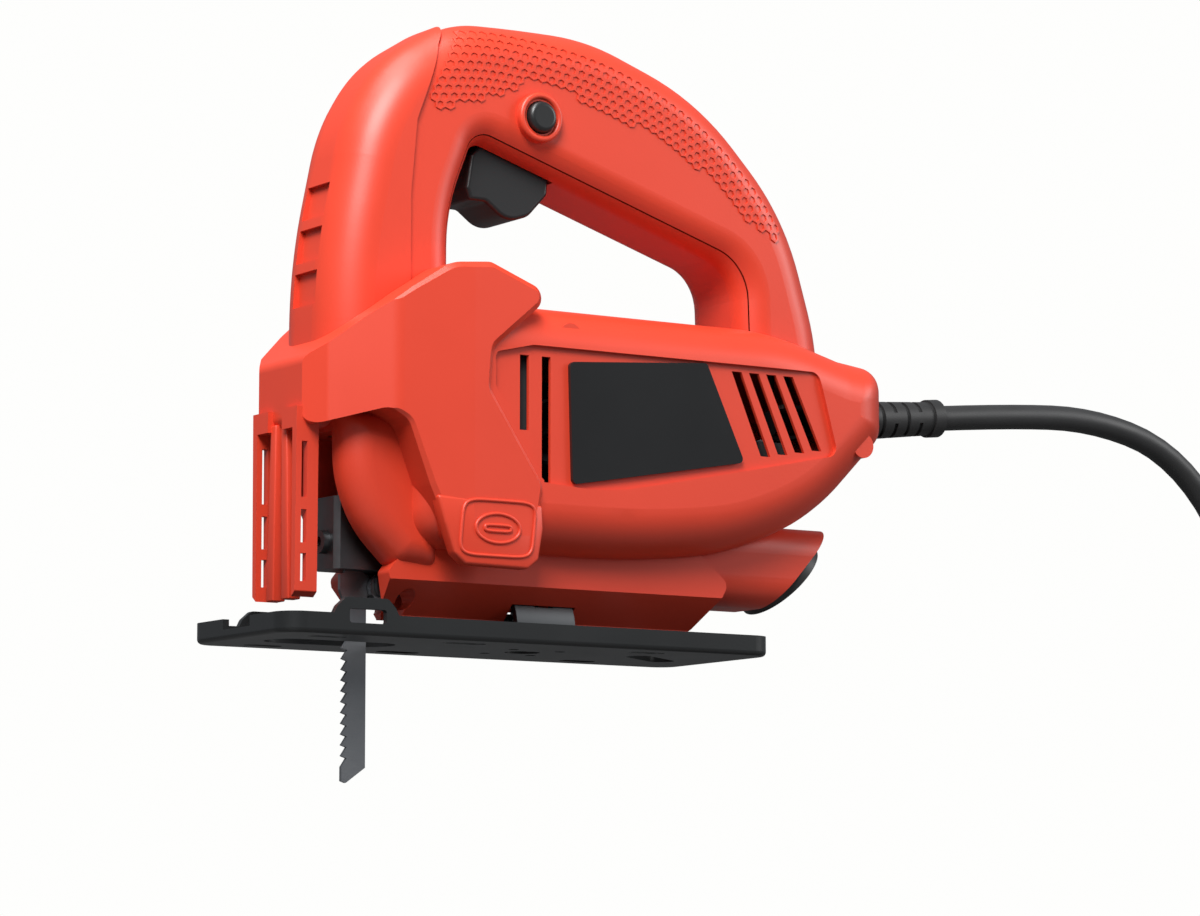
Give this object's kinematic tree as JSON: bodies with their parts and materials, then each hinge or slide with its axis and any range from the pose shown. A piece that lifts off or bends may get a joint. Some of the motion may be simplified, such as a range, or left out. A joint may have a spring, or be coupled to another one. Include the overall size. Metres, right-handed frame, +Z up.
{
  "type": "jigsaw power tool",
  "caption": "Compact mains jigsaw with D-shaped grip, clamshell housing, reciprocating blade, tilting steel shoe and rubber mains cord with plug.",
  "frame": {"origin": "on the sole plane of the shoe, at the saw blade's axis", "axes": "+X to the rear, where the cord leaves; +Y to the tool's right side; +Z up, away from the sole"},
  "size_m": [0.392, 0.1025, 0.2954],
  "materials": {
    "orange_plastic": "satin moulded plastic",
    "black_plastic": "satin",
    "badge": "gloss",
    "black_rubber": "matt",
    "bright_steel": "machined",
    "dark_steel": "blackened",
    "zinc_steel": "zinc plated",
    "black_painted_steel": "satin black",
    "cast_alloy": "die cast",
    "laminated_steel": "lamination stack",
    "copper": "enamelled wire",
    "sintered_bronze": "sintered",
    "carbon": "matt carbon"
  },
  "bodies": {
    "plunger": {"plunger_rod": "bright_steel", "yoke_plate": "dark_steel", "blade_clamp": "dark_steel", "clamp_screw": "dark_steel", "saw_blade": "dark_steel"},
    "armature": {"armature_shaft": "bright_steel", "armature_core": "laminated_steel", "armature_windings": "copper", "commutator": "copper", "cooling_fan": "black_plastic", "pinion_gear": "bright_steel"},
    "gear": {"drive_gear": "bright_steel", "eccentric_pin": "bright_steel", "pin_roller": "bright_steel", "counterweight": "dark_steel"},
    "trigger": {"trigger": "black_plastic"},
    "lock_button": {"lock_button": "black_plastic"},
    "shoe": {"shoe_plate": "black_painted_steel", "shoe_bracket": "dark_steel", "shoe_rivets": "zinc_steel"},
    "roller": {"guide_roller": "bright_steel"},
    "housing": {"badge_left": "badge", "badge_right": "badge", "bearing_plate": "cast_alloy", "brush_holders": "black_plastic", "brush_springs": "zinc_steel", "capacitor": "black_plastic", "carbon_brushes": "carbon", "cord_clamp": "black_plastic", "cord_clamp_screws": "zinc_steel", "cord_coil": "black_rubber", "cord_guard": "black_rubber", "cord_tie": "black_rubber", "dust_ring": "black_rubber", "dust_tube": "black_plastic", "front_motor_bearing": "bright_steel", "gear_axle": "bright_steel", "housing_left": "orange_plastic", "housing_right": "orange_plastic", "housing_screws": "zinc_steel", "inner_lead": "black_rubber", "lower_bush": "sintered_bronze", "mains_cord": "black_rubber", "plug_body": "black_rubber", "plug_pins": "bright_steel", "rear_motor_bearing": "bright_steel", "roller_bracket": "dark_steel", "roller_pin": "bright_steel", "shoe_clamp_screw": "zinc_steel", "stator_coils": "copper", "stator_core": "laminated_steel", "switch_body": "black_plastic", "switch_wires": "black_plastic", "trigger_spring": "zinc_steel", "upper_bush": "sintered_bronze"}
  },
  "joints": [
    {"name": "armature_spin", "type": "hinge", "parent": "housing", "child": "armature", "pos_m": [0.09, 0, 0.06], "axis": [1, 0, 0], "continuous": true},
    {"name": "gear_spin", "type": "hinge", "parent": "housing", "child": "gear", "pos_m": [0.031, 0, 0.0831], "axis": [1, 0, 0], "continuous": true},
    {"name": "plunger_stroke", "type": "slide", "parent": "housing", "child": "plunger", "axis": [0, 0, 1], "range_m": [0, 0.016]},
    {"name": "trigger_press", "type": "slide", "parent": "housing", "child": "trigger", "axis": [0, 0, 1], "range_m": [0, 0.0048], "stiffness_N_per_m": 1500, "springref_m": -0.002, "deforming": ["trigger_spring"]},
    {"name": "lock_button_press", "type": "slide", "parent": "housing", "child": "lock_button", "axis": [0, 1, 0], "range_m": [0, 0.003], "stiffness_N_per_m": 1200, "springref_m": -0.001},
    {"name": "shoe_tilt", "type": "hinge", "parent": "housing", "child": "shoe", "pos_m": [0.0585, 0, 0.006], "axis": [1, 0, 0], "range_deg": [-45, 45]},
    {"name": "guide_roller_spin", "type": "hinge", "parent": "housing", "child": "roller", "pos_m": [0.00935, 0, 0.0165], "axis": [0, 1, 0], "continuous": true}
  ],
  "couplings": [
    {"joint": "gear_spin", "follows": "armature_spin", "ratio": -0.17857}
  ]
}
